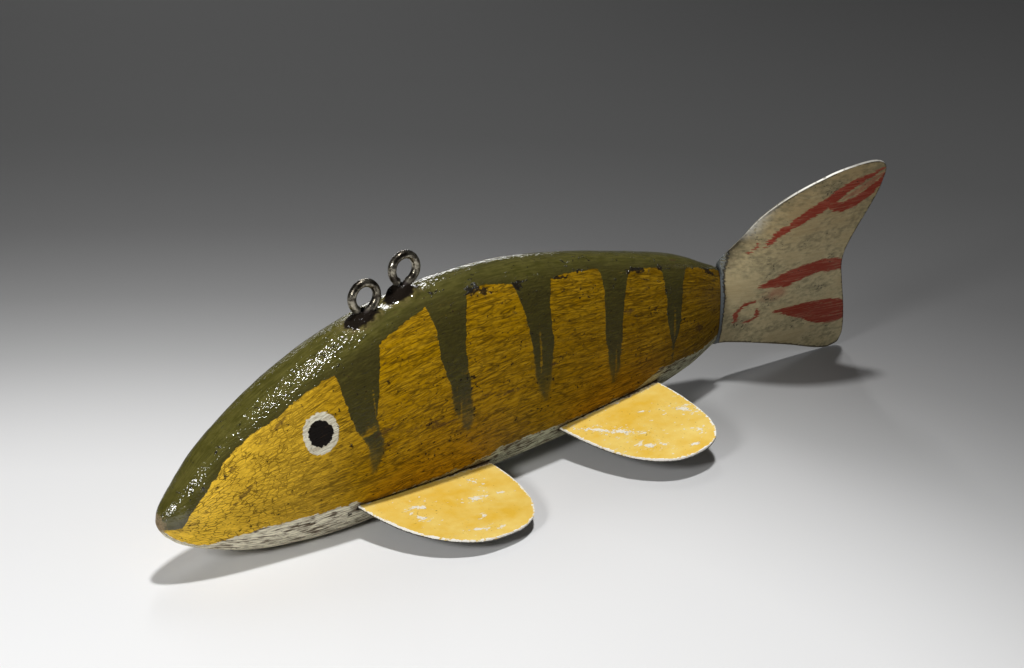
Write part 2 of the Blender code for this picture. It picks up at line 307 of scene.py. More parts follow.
sheetThickness = 0.8
finShapes = {
    "pectoral_fin": {
        "frontX": bodyShape["noseX"] + 55.2,
        "planeHeight": 10.5,
        "droop": math.radians(7.5),
        "pitch": math.radians(-2.8),
        "chord": 47.6,
        "root": 9.5,
        "depth": 33.4,
        "fullness": 2.35,
        "sweep": 0.8,
        "tangEnd": 4.6,
        # bare primer chips: place along, place outwards, length, width, turn in degrees
        "chips": [
            (13.9, 20.4, 2.6, 1.0, 20),
            (10.7, 24.7, 1.6, 1.1, 60),
            (30.5, 23.8, 1.8, 0.9, 10),
            (26.4, 32.0, 1.2, 0.8, 0),
            (20.0, 37.0, 3.0, 0.5, 15),
            (36.0, 16.0, 1.6, 0.5, 70),
        ],
    },
    "pelvic_fin": {
        "frontX": bodyShape["noseX"] + 130.2,
        "planeHeight": 9.9,
        "droop": math.radians(6.0),
        "pitch": math.radians(4.5),
        "chord": 39.3,
        "root": 7.0,
        "depth": 36.2,
        "fullness": 2.5,
        "sweep": 0.3,
        "tangEnd": 3.2,
        "chips": [
            (7.5, 16.5, 6.0, 0.9, 52),
            (11.5, 21.0, 4.2, 1.3, 46),
            (34.1, 23.2, 2.4, 1.2, 60),
            (12.5, 31.8, 2.0, 1.3, 30),
            (15.5, 33.5, 1.3, 0.8, 70),
            (22.5, 39.5, 1.5, 0.7, 0),
            (24.0, 17.0, 2.2, 0.4, 20),
            (29.0, 34.5, 1.1, 0.8, 80),
        ],
    },
}

screwEyes = {
    "ringRadius": 3.9,
    "wireRadius": 1.22,
    "shankDepth": 9.0,
    "neck": 1.3,
    "loopStart": math.radians(-66),
    "loopEnd": math.radians(238),
    # name, behind the nose, across, centre height, turn
    "places": [
        ("screw_eye_front", 66.4, -2.0, 61.9, math.radians(-5)),
        ("screw_eye_rear", 80.7, -1.0, 66.2, math.radians(-4)),
    ],
    # height of the grime round each shank
    "mounds": {"screw_eye_front": 1.9, "screw_eye_rear": 2.9},
}


# back height, belly height and half width at shares of the length
def bodyStation(shares):
    rows = [(bodyShape["noseHeight"], bodyShape["noseHeight"], 0.0)]
    rows += [row[1:] for row in bodyShape["stations"]]
    knots = [0.0] + [math.sqrt(row[0]) for row in bodyShape["stations"]]
    return smoothThrough(knots, rows, np.sqrt(np.clip(shares, 0, 1))).T


def blockOutBody():
    shape = bodyShape
    shares = [(k / shape["rings"]) ** 1.5 for k in range(1, shape["rings"])]
    shares += [1 - shape["endRound"] / shape["length"], 1.0]
    back, belly, half = bodyStation(np.array(shares))
    half[-1] -= shape["endRound"]
    back[-1] -= shape["endRound"]
    belly[-1] += shape["endRound"]
    middle = belly + (back - belly) * shape["widestShare"]
    x = shape["noseX"] + shape["length"] * np.array(shares)
    deselectAll()
    bpy.ops.mesh.primitive_circle_add(
        vertices=shape["sides"],
        radius=half[0] * mm,
        location=(x[0] * mm, 0, middle[0] * mm),
        rotation=(0, math.pi / 2, 0),
    )
    piece = bpy.context.object
    bpy.ops.object.transform_apply(location=True, rotation=True, scale=True)
    # the round becomes an oval that is widest below its middle
    for corner in piece.data.vertices:
        angle = math.atan2(corner.co.z / mm - middle[0], corner.co.y / mm)
        fullness = shape["backFullness"] if angle > 0 else shape["bellyFullness"]
        reach = (back[0] if angle > 0 else belly[0]) - middle[0]
        corner.co.y = float(rounded(math.cos(angle), fullness)) * half[0] * mm
        corner.co.z = (middle[0] + float(rounded(abs(math.sin(angle)), fullness)) * reach) * mm
    editAll()
    for k in range(1, len(x)):
        step = ((x[k] - x[k - 1]) * mm, 0, (middle[k] - middle[k - 1]) * mm)
        bpy.ops.mesh.extrude_region_move(TRANSFORM_OT_translate={"value": step})
        wider = half[k] / half[k - 1]
        taller = (back[k] - belly[k]) / (back[k - 1] - belly[k - 1])
        bpy.ops.transform.resize(
            value=(1, wider, taller), center_override=(x[k] * mm, 0, middle[k] * mm)
        )
    before = 1.0
    for share in shape["capSteps"]:
        bpy.ops.mesh.extrude_region_move(TRANSFORM_OT_translate={"value": (0, 0, 0)})
        smaller = share / before
        bpy.ops.transform.resize(
            value=(1, smaller, smaller), center_override=(x[-1] * mm, 0, middle[-1] * mm)
        )
        before = share
    bpy.ops.mesh.merge(type="CENTER")
    # the first ring closes in the tip of the nose
    bpy.ops.mesh.select_all(action="DESELECT")
    leaveEdit()
    for corner in piece.data.vertices:
        corner.select = corner.co.x < (x[0] + 0.01) * mm
    bpy.ops.object.mode_set(mode="EDIT")
    bpy.ops.mesh.extrude_region_move(TRANSFORM_OT_translate={"value": (0, 0, 0)})
    bpy.ops.mesh.merge(type="CENTER")
    leaveEdit()
    for corner in piece.data.vertices:
        if corner.select:
            corner.co = (shape["noseX"] * mm, 0, shape["noseHeight"] * mm)
    editAll()
    bpy.ops.mesh.normals_make_consistent(inside=False)
    leaveEdit()
    addModifier(piece, "finer", "SUBSURF", subdivision_type="SIMPLE", levels=2, render_levels=2)
    applyModifiers(piece)
    return piece


# where places lie in the ovals of their sections
def inSections(places):
    shape = bodyShape
    shares = np.clip((places[:, 0] - shape["noseX"]) / shape["length"], 0, 1)
    back, belly, half = bodyStation(shares)
    half = np.maximum(half, 1e-3)
    middle = belly + (back - belly) * shape["widestShare"]
    above = places[:, 2] > middle
    reach = np.where(above, back - middle, middle - belly) + 1e-3
    plain = np.where(above, shape["backFullness"], shape["bellyFullness"])
    across = np.abs(places[:, 1]) / half
    up = np.abs(places[:, 2] - middle) / reach
    angle = np.arctan2(up ** (plain / 2), across ** (plain / 2))
    size = (across**plain + up**plain) ** (1 / plain)
    return shares, half, middle, above, reach, angle, size


# moves every vertex onto the true oval of its section
def trueSections(piece):
    shape = bodyShape
    places = readPlaces(piece)
    shares, half, middle, above, reach, angle, size = inSections(places)
    atEnd = shape["backFullness"] + (shape["backFullnessAtEnd"] - shape["backFullness"]) * shares**6
    full = np.where(above, atEnd, shape["bellyFullness"])
    onSide = shares < 1 - (shape["endRound"] + 0.01) / shape["length"]
    onTip = shares < 1e-6
    size = np.where(onSide & ~onTip, 1.0, size)
    side = np.sign(places[:, 1])
    places[:, 1] = side * half * size * np.cos(angle) ** (2 / full)
    rise = reach * size * np.abs(np.sin(angle)) ** (2 / full)
    places[:, 2] = middle + np.where(above, rise, -rise)
    places[onTip] = (shape["noseX"], 0, shape["noseHeight"])
    writePlaces(piece, places)


# place along the body, round it from the ridge of the back, and the whole half girth
def girthPlaces(places):
    shape = bodyShape
    shareSteps = np.linspace(0.0005, 1, 161)
    angles = np.linspace(math.pi / 2, -math.pi / 2, 121)
    back, belly, half = bodyStation(shareSteps)
    middle = belly + (back - belly) * shape["widestShare"]
    full = np.where(angles > 0, shape["backFullness"], shape["bellyFullness"])
    y = half[:, None] * np.abs(np.cos(angles)) ** (2 / full)
    reach = np.where(angles > 0, (back - middle)[:, None], (belly - middle)[:, None])
    z = middle[:, None] + reach * np.abs(np.sin(angles)) ** (2 / full)
    steps = np.hypot(np.diff(y, axis=1), np.diff(z, axis=1))
    table = np.concatenate([np.zeros((len(shareSteps), 1)), np.cumsum(steps, axis=1)], axis=1)
    shares, half, middle, above, reach, angle, size = inSections(places)
    column = (math.pi / 2 - angle * np.where(above, 1, -1)) / math.pi * (len(angles) - 1)
    row = np.interp(shares, shareSteps, np.arange(len(shareSteps)))
    r0 = np.clip(row.astype(int), 0, len(shareSteps) - 2)
    c0 = np.clip(column.astype(int), 0, len(angles) - 2)
    fr, fc = row - r0, column - c0
    girth = (table[r0, c0] * (1 - fc) + table[r0, c0 + 1] * fc) * (1 - fr)
    girth += (table[r0 + 1, c0] * (1 - fc) + table[r0 + 1, c0 + 1] * fc) * fr
    total = table[r0, -1] * (1 - fr) + table[r0 + 1, -1] * fr
    return shares * shape["length"], girth, total


# Painted pattern of the body, in mm along from the nose and round from the ridge
paintPlan = {
    # lower edge of the olive back: along, round
    "backEdge": [
        (0, 6.0), (4.8, 11.3), (6.7, 9.6), (10.1, 9.5), (14, 9.3), (16.9, 8.2), (23.3, 8.6),
        (27.8, 9.0), (32.5, 10.5), (39.9, 10.2), (50.1, 11.6), (57, 11.6), (65, 11.4),
        (72.4, 10.1), (82.3, 8.4), (95.7, 9.4), (102.3, 7.9), (111.2, 9.5), (119, 11.0),
        (126.5, 9.9), (131.9, 9.0), (144.3, 7.7), (157, 8.6), (170.4, 7.4), (181.8, 6.8),
        (190.8, 5.4), (200, 2.4),
    ],
    # bars: rows of round, centre along and half width; shift and reach on the right side
    "bars": [
        {"rows": [(8, 57.7, 8.0), (11.5, 57.7, 7.3), (17, 56.9, 6.2), (23, 56.6, 4.8),
                  (28.5, 56.6, 3.3), (32, 57.9, 2.7), (35.6, 59.2, 2.4), (39.5, 59.4, 2.1),
                  (43.2, 58.6, 0.3)], "rightShift": 1.5, "rightReach": 0.95},
        {"rows": [(6, 89.4, 8.0), (8.5, 89.5, 7.1), (15.6, 88.3, 5.2), (22.6, 87.0, 4.5),
                  (30.4, 88.2, 3.5), (38, 89.2, 3.3), (43.5, 90.8, 2.2), (47, 91.2, 0.3)],
         "rightShift": -2.0, "rightReach": 1.04},
        {"rows": [(8, 119.7, 7.6), (11, 119.7, 6.8), (15, 119.3, 5.6), (20.5, 119.4, 4.6),
                  (26, 120.1, 4.4), (34.5, 120.2, 3.6), (41.4, 120.5, 2.2), (45.2, 121.2, 0.3)],
         "rightShift": 2.5, "rightReach": 0.9},
        {"rows": [(6, 151.9, 6.2), (8.8, 151.7, 5.5), (16.6, 149.7, 3.9), (22, 148.9, 3.6),
                  (27.7, 148.7, 3.5), (33, 148.9, 2.6), (38, 149.1, 2.0), (42.2, 149.0, 0.3)],
         "rightShift": -1.0, "rightReach": 1.06},
        {"rows": [(4, 176.2, 6.0), (7, 176.2, 5.4), (11, 175.3, 3.9), (16, 174.7, 3.4),
                  (22.9, 174.2, 3.0), (27, 174.4, 1.9), (30, 174.5, 0.7), (38, 174.3, 0.3)],
         "rightShift": 1.5, "rightReach": 1.1},
    ],
    # upper edge of the white belly: along, share of the half girth
    "bellyEdge": [
        (0, 0.84), (5, 0.83), (10.7, 0.83), (18.3, 0.745), (26.7, 0.716), (38.9, 0.716),
        (52.6, 0.722), (60, 0.755), (97, 0.80), (102, 0.80), (105, 0.785), (112, 0.785), (129, 0.81),
        (160, 0.80), (170, 0.72), (183, 0.75), (192, 0.80), (200, 0.83),
    ],
    # rows of grain from the ridge to the keel
    "grainRows": 62,
    # eye: place of its middle, turn, and half sizes
    "eye": {"along": 43.1, "height": 33.3, "turn": math.radians(10), "ring": (5.1, 5.45),
            "pupil": (3.5, 3.45)},
    # brown stains: along, round, length, width
    "stains": [
        (20.0, 20.3, 4.2, 0.9), (18.2, 11.3, 1.4, 1.0), (79.5, 39.6, 4.0, 0.8), (92, 37.5, 12, 0.6),
        (107, 39.5, 9, 0.6), (186.9, 23.6, 2.8, 1.9), (62, 33.5, 6, 0.7), (68, 38, 9, 0.5),
        (10, 17.5, 1.2, 0.6), (124, 34, 1.6, 0.7), (155, 20, 2.4, 0.9), (33, 12, 3, 0.8),
        (178, 4.5, 1.6, 0.7), (84, 41, 7, 0.5),
    ],
    # dark crumbling paint at the tops of the yellow panels: along, round, length, width
    "crumbs": [
        (98.4, 8.4, 4.0, 1.5), (102.4, 9.6, 1.8, 1.5), (114.0, 10.6, 1.6, 1.9), (131, 9.6, 3.4, 0.8),
        (138, 8.0, 2.0, 0.6), (161, 8.4, 4.2, 0.9), (193, 5.4, 4.2, 1.1), (171, 7.6, 1.5, 0.8),
    ],
    # places where a bar is scraped thin: along, round, length, width
    "scrapes": [
        (119.3, 30.5, 0.55, 8.5), (57.2, 31.2, 3.6, 1.3), (121.9, 38.5, 0.4, 5), (149.6, 36, 0.35, 5),
        (88.2, 41, 0.5, 5), (59.5, 24.5, 0.3, 4), (86.8, 33, 0.3, 4), (174.6, 24, 0.35, 5),
    ],
    # small dark dots in the paint
    "dots": [(16.3, 4.5, 0.35), (75.5, 24.0, 0.4), (131, 13, 0.4), (71, 45, 0.3), (139, 26, 0.3)],
}


def finPlaneMatrix(fin, side):
    turn = Euler((-side * fin["droop"], -fin["pitch"], 0.0)).to_matrix().to_4x4()
    return Matrix.Translation((fin["frontX"] * mm, 0, fin["planeHeight"] * mm)) @ turn


def inFinPlane(places, fin, side):
    back = np.array(finPlaneMatrix(fin, side).inverted())
    return places @ back[:3, :3].T + back[:3, 3] / mm


# carving marks, raised brush marks, nicks and the lumps of grime round the screw eyes
def carveBody(piece):
    shape = bodyShape
    places, normals = readPlaces(piece), readNormals(piece)
    along, girth, total = girthPlaces(places)
    onCap = places[:, 0] > endX - shape["endRound"] * 0.5
    nearNose = 1 - smoothStep(2, 16, along)
    height = 0.16 * lumps(places, (34, 9, 8), 1) + 0.09 * lumps(places, (16, 4.4, 4.2), 2)
    height += 0.05 * lumps(places, (9, 2.2, 2.0), 3)
    # brush marks in the thick olive paint run with the body
    brushed = 1 - smoothStep(8, 13, girth)
    height += brushed * 0.045 * lumps(places, (7, 1.3, 1.3), 4)
    height += brushed * 0.035 * lumps(places, (2.2, 1.5, 1.6), 5)
    # raised grain where the belly's paint is thin
    belly = smoothStep(-2, 2, girth - np.interp(along, *zip(*paintPlan["bellyEdge"])) * total)
    height += belly * 0.07 * lumps(places, (14, 0.9, 1.1), 6)
    height -= 0.30 + 0.10 * nearNose
    # hardened grime round the screw eyes
    for name, behind, across, centre, turn in screwEyes["places"]:
        off = np.hypot((along - behind + 0.9) / 1.4, places[:, 1] - across)
        top = places[:, 2] > 40
        mound = (1 - smoothStep(1.1, 4.3, off + 0.9 * lumps(places, (2, 2, 2), 8))) * top
        height += mound * (screwEyes["mounds"][name] + 0.45 * lumps(places, (1.3, 1.2, 1.3), 9))
    height = np.where(onCap, -0.06 + 0.05 * lumps(places, (3, 0.9, 5), 7), height)
    places += normals * height[:, None]
    places[:, 2] = np.maximum(places[:, 2], 0.0)
    writePlaces(piece, places)


def addCutter(low, high, matrix=None):
    bpy.ops.mesh.primitive_cube_add(size=1)
    cutter = bpy.context.object
    low, high = np.array(low) * mm, np.array(high) * mm
    for corner in cutter.data.vertices:
        for axis in range(3):
            corner.co[axis] = high[axis] if corner.co[axis] > 0 else low[axis]
    if matrix:
        cutter.data.transform(matrix)
    return cutter


# the saw slots of the fins and tail, and the holes of the screw eyes
def cutSlots(piece):
    deselectAll()
    gap = bodyShape["sawGap"]
    wall = sheetThickness / 2 + gap
    cutters = []
    for fin in finShapes.values():
        for side in (-1, 1):
            ends = sorted((side * (fin["tangEnd"] - gap), side * bodyShape["finSlotReach"]))
            low, high = (-gap, ends[0], -wall), (fin["chord"] + gap, ends[1], wall)
            cutters.append(addCutter(low, high, finPlaneMatrix(fin, side)))
    slot = bodyShape["tailSlot"]
    low = (endX - slot["depth"], -wall, slot["low"])
    cutters.append(addCutter(low, (endX + slot["depth"], wall, slot["high"])))
    for name, behind, across, centre, turn in screwEyes["places"]:
        bottom = centre - screwEyes["ringRadius"] - screwEyes["neck"] - screwEyes["shankDepth"]
        bpy.ops.mesh.primitive_cylinder_add(
            vertices=20,
            radius=(screwEyes["wireRadius"] + gap) * mm,
            depth=20 * mm,
            location=((bodyShape["noseX"] + behind) * mm, across * mm, (bottom - gap + 10) * mm),
        )
        bpy.ops.object.transform_apply(location=True, rotation=True, scale=True)
        cutters.append(bpy.context.object)
    deselectAll()
    for cutter in cutters:
        cutter.select_set(True)
    bpy.context.view_layer.objects.active = cutters[0]
    bpy.ops.object.join()
    cutter = bpy.context.object
    cut = {"operation": "DIFFERENCE", "solver": "MANIFOLD", "object": cutter}
    addModifier(piece, "saw slots", "BOOLEAN", **cut)
    applyModifiers(piece)
    bpy.data.objects.remove(cutter, do_unlink=True)


def barInside(along, girth, bar, right):
    rows = bar["rows"]
    stretch = bar["rightReach"] if right else 1.0
    rounds = [row[0] * stretch for row in rows]
    centre = np.interp(girth, rounds, [row[1] for row in rows])
    half = np.interp(girth, rounds, [row[2] for row in rows])
    shift = bar["rightShift"] if right else 0.0
    inside = half - np.abs(along - centre - shift)
    return np.minimum(inside, (rounds[-1] - girth) * 0.8)


def writeBodyPattern(piece):
    places = readPlaces(piece)
    along, girth, total = girthPlaces(places)
    right = places[:, 1] > 0
    edge = np.interp(along, *zip(*paintPlan["backEdge"]))
    edge = edge + np.where(right, 0.8 * np.sin(along / 9.0), 0)
    writeAttribute(piece, "backInside", edge - girth)
    bars = np.full(len(places), -50.0)
    for bar in paintPlan["bars"]:
        left = barInside(along, girth, bar, False)
        bars = np.maximum(bars, np.where(right, barInside(along, girth, bar, True), left))
    writeAttribute(piece, "barInside", bars)
    bellyEdge = np.interp(along, *zip(*paintPlan["bellyEdge"])) * total
    writeAttribute(piece, "bellyInside", girth - bellyEdge)
    eye = paintPlan["eye"]
    offAlong, up = along - eye["along"] - np.where(right, 0.7, 0), places[:, 2] - eye["height"]
    c, s = math.cos(eye["turn"]), math.sin(eye["turn"])
    for name in ("ring", "pupil"):
        wide, tall = eye[name]
        inside = 1 - np.hypot((offAlong * c - up * s) / wide, (offAlong * s + up * c) / tall)
        writeAttribute(piece, name + "Inside", inside * (wide + tall) / 2)
    for name in ("stains", "crumbs", "scrapes"):
        value = np.zeros(len(places))
        for at, roundAt, length, width in paintPlan[name]:
            off = np.hypot((along - at - np.where(right, 7.0, 0.0)) / length, (girth - roundAt) / width)
            value = np.maximum(value, 1.3 - off)
        writeAttribute(piece, name, value)
    dot = np.zeros(len(places))
    for at, roundAt, width in paintPlan["dots"]:
        off = np.hypot(along - at, girth - roundAt) / width
        dot = np.maximum(dot, np.where(right, 0, 2 - off))
    writeAttribute(piece, "dot", dot)
    seam = np.full(len(places), 50.0)
    for fin in finShapes.values():
        for side in (-1, 1):
            local = inFinPlane(places, fin, side)
            beyond = np.maximum(np.maximum(-local[:, 0], local[:, 0] - fin["chord"]), 0)
            off = np.hypot(np.maximum(np.abs(local[:, 2]) - 0.7, 0), beyond * 0.8)
            seam = np.where(side * places[:, 1] > 0, np.minimum(seam, off), seam)
    writeAttribute(piece, "offSeam", seam)
    # distance from the screw eyes, stretched towards the nose to hold their grime and the painted
    # shadow of each ring
    grime = np.full(len(places), 50.0)
    for name, behind, across, centre, turn in screwEyes["places"]:
        off = np.hypot((along - behind + 1.6) / 1.7, places[:, 1] - across)
        grime = np.where(places[:, 2] > 40, np.minimum(grime, off), grime)
    writeAttribute(piece, "offScrewEye", grime)
    writeAttribute(piece, "along", along)
    writeAttribute(piece, "grainRow", girth / total * paintPlan["grainRows"])
    writeAttribute(piece, "fromRidge", girth)
    writeAttribute(piece, "onCap", smoothStep(endX - 0.7, endX - 0.35, places[:, 0]))


bodyLook = {
    # painted light makes the nose yellow paler, and painted shade makes the tail yellow browner
    "yellowNosePaintedLight": "#f8ca40",
    "yellow": "#ac8202",
    "yellowTailPaintedShade": "#805f02",
    "yellowLight": "#dcb030",
    "yellowDark": "#6a4702",
    "olive": "#434014",
    "oliveLight": "#5c5725",
    "bar": "#3f3a19",
    "white": "#ebe4cb",
    # greener white, darkened with painted shade, for the belly towards the tail
    "whiteGreenPaintedShade": "#bcbb9d",
    "eyeWhite": "#dad5c0",
    "pupil": "#1a1715",
    "wood": "#968365",
    "woodDark": "#463322",
    "rubbed": "#7f7146",
    "grime": "#1b1510",
    "crack": "#362606",
}


# Old oil paint on carved pine: satin yellow and glossy olive with brush ridges, dried
# and crackled, rubbed through to the wood at the nose, darkened in the hollows, with
# painted light and shade along the flank and painted shadow round the screw eyes
def makeBodyMaterial():
    gloss = {"IOR": 1.5, "Specular IOR Level": 0.04, "Coat Roughness": 0.08, "Coat IOR": 1.8}
    names = "along fromRidge grainRow backInside barInside bellyInside ringInside pupilInside stains"
    names += " crumbs scrapes dot offSeam offScrewEye onCap"
    material, tree, shader, place, look, node, at, mask = startMaterial(
        "crackled oil paint on carved pine", bodyLook, gloss, names.split()
    )

    wander = speckle(tree, place, (5, 2.6, 2.6), 3.0, 3.0)
    ragged = speckle(tree, place, (1.1, 0.8, 0.8), 3.0, 9.0)
    # places along the grain, which follows the carved shape
    flow = node("CombineXYZ", at["along"], at["grainRow"], node("SeparateXYZ", place, output=1))
    grain = speckle(tree, flow, (16, 0.9, 7), 4.0, 1.0, 0.2)
    fineGrain = speckle(tree, flow, (4.5, 0.55, 5), 1.5, 5.0)
    patches = speckle(tree, place, (22, 12, 12), 3.0, 2.0)
    mottle = speckle(tree, place, (3.2, 2.2, 2.2), 4.0, 6.0)
    drips = speckle(tree, place, (1.5, 14, 14), 2.0, 24.0)
    pits = speckle(tree, place, (1.9, 0.5, 0.5), 2.0, 21.0)
    breaks = speckle(tree, place, (6, 2.4, 2.4), 2.0, 12.0)

    # yellow flank: paler at the nose and browner near the tail, as painted light and painted shade
    # along the flank, streaked with the grain
    where = node("timesPlus", patches, 40.0, at["along"])
    share = node("ramp", where, 6.0, 66.0, 1.0, 0.0)
    yellow = node("blend", share, look["yellow"], look["yellowNosePaintedLight"])
    share = node("ramp", where, 60.0, 190.0)
    yellow = node("blend", share, yellow, look["yellowTailPaintedShade"])
    tone = node("timesPlus", grain, 1.0, node("timesPlus", mottle, 0.4, 0.10))
    yellow = node("blend", tone, yellow, look["yellowLight"])
    tone = node("timesPlus", fineGrain, 0.4, node("timesPlus", patches, -0.8, 0.03))
    yellow = node("blend", tone, yellow, look["yellowDark"])

    # crackle: a net at the nose, and long checks with the grain on the flank
    net = crackle(tree, flow, (2.2, 1.3, 5), 0.11, 4.0, 0.5)
    share = node("ramp", at["along"], 20.0, 60.0, 1.0, 0.1)
    net = node("times", net, share)
    share = node("ramp", breaks, -0.22, 0.02, 0.2, 1.0)
    net = node("times", net, share)
    checks = crackle(tree, flow, (7.5, 1.2, 9), 0.12, 8.0, 0.35)
    lines = grainLines(tree, flow, (10, 1.05, 8), 0.075, 14.0)
    checks = node("larger", node("times", checks, 0.65), lines)
    share = mask(breaks, [(ragged, 0.5)], -0.22, 0.0, 0.3, 1.0)
    checks = node("times", checks, share)
    share = node("ramp", at["along"], 8.0, 50.0, 0.35, 0.9)
    checks = node("times", checks, share)
    ticks = crackle(tree, flow, (5.0, 0.95, 6), 0.2, 31.0, 0.35)
    short = speckle(tree, flow, (3.0, 0.9, 5), 1.0, 33.0)
    short = mask(short, [(patches, 0.5)], -0.1, 0.1, 0.0, 0.85)
    share = node("ramp", at["along"], 10.0, 45.0, 0.25, 0.7)
    ticks = node("times", node("times", ticks, short), share)
    crack = node("larger", net, node("larger", checks, ticks))
    pitMask = mask(pits, [(patches, 0.3)], 0.17, 0.25, 0.0, 0.9)
    crack = node("larger", crack, pitMask)
    yellow = node("blend", node("times", crack, 0.82), yellow, look["crack"])

    # white belly, thin over brown grain, and greener and darker towards the tail, partly painted shade
    share = node("ramp", where, 45.0, 85.0)
    white = node("blend", share, look["white"], look["whiteGreenPaintedShade"])
    bare = mask(grain, [(mottle, 1.2), (fineGrain, 2.2)], 0.0, 0.34, 0.0, 0.9)
    bare = node("larger", bare, node("times", checks, 0.8))
    white = node("blend", bare, white, look["woodDark"])
    bellyMask = mask(at["bellyInside"], [(ragged, 1.8), (wander, 3.2)], -0.15, 0.2)
    colour = node("blend", bellyMask, yellow, white)

    # olive back, and bars that grow thin and streaky towards their lower ends
    backMask = mask(at["backInside"], [(ragged, 1.0), (wander, 1.6)], -0.1, 0.12)
    low = node("ramp", at["fromRidge"], 25.0, 45.0)
    edge = node("timesPlus", wander, 1.5, node("timesPlus", ragged, 0.8, at["barInside"]))
    hard = node("ramp", edge, -0.1, 0.15)
    soft = node("ramp", edge, -0.9, 0.9)
    barMask = node("Mix", low, hard, soft)
    thin = mask(low, [(fineGrain, 0.9), (drips, 0.7)], 0.4, 1.4, 1.0, 0.55)
    barMask = node("times", barMask, thin)
    scraped = mask(at["scrapes"], [(grain, 1.5), (ragged, 1.2)], 0.2, 0.9, 1.0, 0.4)
    barMask = node("times", barMask, scraped)
    tone = node("timesPlus", fineGrain, 0.8, node("times", mottle, 0.7))
    tone = node("ramp", tone, -0.25, 0.28)
    olive = node("blend", tone, look["olive"], look["oliveLight"])
    barTone = node("ramp", at["fromRidge"], 7.5, 13.0)
    barTone = node("times", barTone, barMask)
    # painted shade: the olive darkens towards its lower edge, where the back turns down
    paintedShadeUnderBack = node("ramp", at["backInside"], 0.0, 4.0, 0.8, 0.0)
    shade = node("larger", barTone, paintedShadeUnderBack)
    shade = node("times", shade, node("ramp", fineGrain, 0.0, 0.25, 1.0, 0.55))
    olive = node("blend", shade, olive, look["bar"])
    share = node("times", node("times", ticks, barTone), 0.45)
    olive = node("blend", share, olive, look["grime"])
    oliveMask = node("larger", backMask, barMask)
    colour = node("blend", oliveMask, colour, olive)

    # eye: a black dot with a torn edge on a white round
    torn = node("timesPlus", ragged, 1.3, node("times", wander, 1.3))
    ring = node("plus", torn, at["ringInside"])
    ringMask = node("ramp", ring, -0.12, 0.12)
    pupil = node("plus", torn, at["pupilInside"])
    pupilMask = node("ramp", pupil, -0.1, 0.1)
    eyeWhite = node("blend", node("times", checks, 0.6), look["eyeWhite"], look["wood"])
    colour = node("blend", ringMask, colour, eyeWhite)
    colour = node("blend", pupilMask, colour, look["pupil"])

    # stains, crumbling paint, darkening along the seams of the fins, and grime with painted shadow
    # round the screw eyes
    stainMask = mask(at["stains"], [(fineGrain, 1.4), (ragged, 1.9)], 0.25, 0.95, 0.0, 0.7)
    colour = node("blend", stainMask, colour, look["woodDark"])
    crumbMask = mask(at["crumbs"], [(wander, 1.6), (ragged, 2.6)], 0.45, 0.75, 0.0, 0.9)
    crumbMask = node("larger", crumbMask, node("ramp", at["dot"], 0.6, 1.2))
    colour = node("blend", crumbMask, colour, look["grime"])
    # darker along the seams of the fins
    seamMask = mask(at["offSeam"], [(mottle, 2.5)], 0.0, 2.0, 0.75, 0.0)
    colour = node("blend", seamMask, colour, look["woodDark"])
    line = mask(at["offSeam"], [(ragged, 1.6)], 0.2, 0.5, 0.9, 0.0)
    colour = node("blend", line, colour, look["grime"])
    edge = node("timesPlus", mottle, 2.6, at["offScrewEye"])
    rubbed = node("ramp", edge, 2.9, 4.7, 0.7, 0.0)
    rubbed = node("times", rubbed, node("ramp", ragged, -0.12, 0.1, 0.35, 1.0))
    colour = node("blend", rubbed, colour, look["rubbed"])
    # grime and the painted shadow of each ring darken the wood round the screw eyes
    grimeAndRingShadowMask = node("ramp", edge, 2.7, 3.5, 1.0, 0.0)
    colour = node("blend", grimeAndRingShadowMask, colour, look["grime"])

    # bare wood on the worn nose, and a dark sawn end
    wear = [(wander, 2.0), (ragged, 2.6), (at["bellyInside"], -0.12)]
    noseMask = mask(at["along"], wear, 1.1, 2.2, 0.9, 0.0)
    tone = node("ramp", fineGrain, -0.05, 0.3)
    wood = node("blend", tone, look["wood"], look["woodDark"])
    colour = node("blend", noseMask, colour, wood)
    colour = node("blend", node("times", at["onCap"], 0.8), colour, look["grime"])
    tree.links.new(colour, shader.inputs["Base Color"])

    # glossy olive, satin bars and yellow, dull belly, stains, and grime with painted shadow
    dull = node("larger", grimeAndRingShadowMask, bellyMask)
    dull = node("larger", dull, node("larger", stainMask, noseMask))
    dull = node("larger", dull, node("larger", ringMask, seamMask))
    onTop = node("ramp", at["fromRidge"], 11.0, 19.0, 0.18, 0.02)
    coat = node("timesPlus", barTone, -0.16, node("timesPlus", oliveMask, 0.27, onTop))
    # thickest along the ridge behind the screw eyes, and on the nose
    ridge = node("ramp", at["along"], 60.0, 68.0, 0.0, 0.65)
    ridge = node("times", ridge, node("ramp", at["fromRidge"], 6.0, 9.5, 1.0, 0.0))
    ridge = node("larger", ridge, node("ramp", at["along"], 9.0, 15.0, 0.4, 0.0))
    coat = node("timesPlus", ridge, backMask, coat)
    coat = node("times", coat, node("timesPlus", dull, -0.9, 1.0))
    coat = node("times", coat, node("ramp", mottle, -0.25, 0.1, 0.5, 1.0))
    tree.links.new(coat, shader.inputs["Coat Weight"])
    rough = node("timesPlus", mottle, 0.25, node("timesPlus", dull, 0.2, 0.58))
    tree.links.new(rough, shader.inputs["Roughness"])

    # relief in mm: brush ridges, cracks, paint edges
    ridges = speckle(tree, place, (1.7, 0.58, 0.58), 1.0, 15.0, 0.5)
    ripples = speckle(tree, place, (1.0, 0.5, 0.5), 0.0, 18.0)
    thick = node("timesPlus", oliveMask, 0.09, 0.08)
    gloss = node("times", ridges, thick)
    gloss = node("timesPlus", ripples, node("timesPlus", oliveMask, 0.04, 0.11), gloss)
